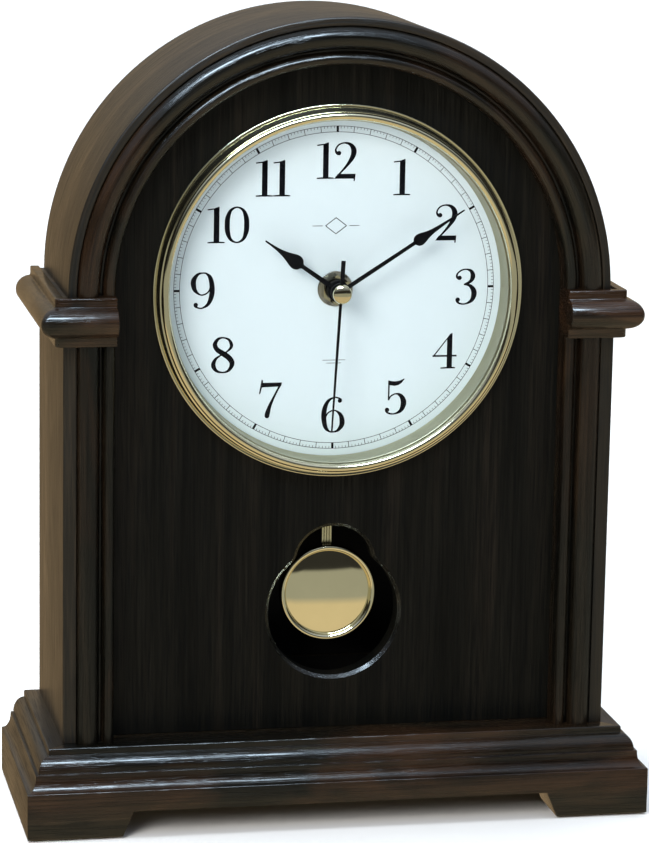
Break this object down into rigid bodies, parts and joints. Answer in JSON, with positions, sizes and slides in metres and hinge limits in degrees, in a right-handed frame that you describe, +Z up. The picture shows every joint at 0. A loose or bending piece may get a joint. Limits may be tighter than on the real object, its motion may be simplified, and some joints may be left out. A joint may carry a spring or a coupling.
{
  "type": "mantel clock",
  "caption": "Arched mantel clock in ebonised wood with a round dial, hands driven by a geared quartz movement, a swinging pendulum behind a keyhole window and a hinged back door.",
  "frame": {"origin": "middle of the footprint, on the surface the clock stands on", "axes": "+X to the clock's right as seen from the front, +Y towards its back, +Z up; the dial faces -Y"},
  "size_m": [0.251, 0.0954, 0.32],
  "materials": {
    "ebonised_wood": "satin lacquer over dark stained, open-grained ash",
    "black_board": "matt black painted board",
    "gold": "polished, pale gold plated",
    "nickel": "nickel plated",
    "steel": "plain",
    "copper": "enamelled copper winding",
    "black_metal": "satin black",
    "dial_white": "matt white with printed markings",
    "lens_glass": "clear, domed",
    "black_plastic": "fine spark-eroded",
    "white_plastic": "moulded acetal",
    "board_green": "solder resist",
    "felt": "pressed felt",
    "cell_jacket": "printed sleeve, plain"
  },
  "bodies": {
    "case": {"arch_moulding": "ebonised_wood", "arch_shell": "ebonised_wood", "back_frame": "black_board", "base_back_rail": "ebonised_wood", "base_board": "ebonised_wood", "base_front_moulding": "ebonised_wood", "base_left_moulding": "ebonised_wood", "base_right_moulding": "ebonised_wood", "battery": "cell_jacket", "bezel": "gold", "circuit_board": "board_green", "dial_plate": "dial_white", "dial_surround": "gold", "dial_washer": "nickel", "door_catch": "nickel", "felt_pad_back_left": "felt", "felt_pad_back_right": "felt", "felt_pad_front_left": "felt", "felt_pad_front_right": "felt", "frame_hinge_leaf_lower": "gold", "frame_hinge_leaf_upper": "gold", "front_panel": "ebonised_wood", "hex_nut": "gold", "hinge_pin_lower": "steel", "hinge_pin_upper": "steel", "left_capital": "ebonised_wood", "left_pilaster": "ebonised_wood", "left_side_panel": "ebonised_wood", "lens": "lens_glass", "middle_plate": "white_plastic", "motor_coil": "copper", "movement_back_shell": "black_plastic", "movement_front_shell": "black_plastic", "negative_contact": "steel", "pendulum_coil": "copper", "positive_contact": "steel", "right_capital": "ebonised_wood", "right_pilaster": "ebonised_wood", "right_side_panel": "ebonised_wood", "stator": "steel"},
    "minute_hand": {"minute_hand": "black_metal", "cannon_pinion": "steel"},
    "hour_hand": {"hour_hand": "black_metal", "hour_wheel": "white_plastic"},
    "setting_arbor": {"minute_wheel": "white_plastic", "setting_knob": "black_plastic"},
    "second_hand": {"second_hand": "black_metal", "second_hand_cap": "gold", "seconds_wheel": "white_plastic"},
    "third_wheel": {"third_wheel": "white_plastic"},
    "centre_wheel": {"centre_wheel": "white_plastic"},
    "step_wheel": {"step_wheel": "white_plastic"},
    "rotor": {"rotor": "steel"},
    "pendulum": {"pendulum_hanger": "white_plastic", "pendulum_rod": "gold", "pendulum_bob": "gold"},
    "back_door": {"back_door": "black_board", "door_hinge_leaf_lower": "gold", "door_hinge_leaf_upper": "gold", "door_pull": "gold"}
  },
  "joints": [
    {"name": "minute_turn", "type": "hinge", "parent": "case", "child": "minute_hand", "pos_m": [0, -0.02, 0.2118], "axis": [0, 1, 0], "continuous": true},
    {"name": "hour_turn", "type": "hinge", "parent": "case", "child": "hour_hand", "pos_m": [0, -0.02, 0.2118], "axis": [0, 1, 0], "continuous": true},
    {"name": "setting_turn", "type": "hinge", "parent": "case", "child": "setting_arbor", "pos_m": [0, 0.007, 0.2006], "axis": [0, 1, 0], "continuous": true},
    {"name": "second_turn", "type": "hinge", "parent": "case", "child": "second_hand", "pos_m": [0, -0.02, 0.2118], "axis": [0, 1, 0], "continuous": true},
    {"name": "third_wheel_turn", "type": "hinge", "parent": "case", "child": "third_wheel", "pos_m": [0.00585, -0.004, 0.22016], "axis": [0, 1, 0], "continuous": true},
    {"name": "centre_wheel_turn", "type": "hinge", "parent": "case", "child": "centre_wheel", "pos_m": [0, -0.007, 0.2118], "axis": [0, 1, 0], "continuous": true},
    {"name": "step_wheel_turn", "type": "hinge", "parent": "case", "child": "step_wheel", "pos_m": [-0.00695, -0.001, 0.21366], "axis": [0, 1, 0], "continuous": true},
    {"name": "rotor_turn", "type": "hinge", "parent": "case", "child": "rotor", "pos_m": [-0.01219, 0.001, 0.2189], "axis": [0, 1, 0], "continuous": true},
    {"name": "pendulum_swing", "type": "hinge", "parent": "case", "child": "pendulum", "pos_m": [0, -0.00465, 0.1698], "axis": [0, 1, 0], "range_deg": [-6, 6]},
    {"name": "door_swing", "type": "hinge", "parent": "case", "child": "back_door", "pos_m": [-0.08835, 0.04555, 0.13], "axis": [0, 0, 1], "range_deg": [0, 150]}
  ],
  "couplings": [
    {"joint": "hour_turn", "follows": "minute_turn", "ratio": 0.083333},
    {"joint": "setting_turn", "follows": "minute_turn", "ratio": -0.33333},
    {"joint": "third_wheel_turn", "follows": "second_turn", "ratio": -0.13333},
    {"joint": "centre_wheel_turn", "follows": "second_turn", "ratio": 0.016667},
    {"joint": "step_wheel_turn", "follows": "second_turn", "ratio": -5},
    {"joint": "rotor_turn", "follows": "second_turn", "ratio": 30}
  ]
}
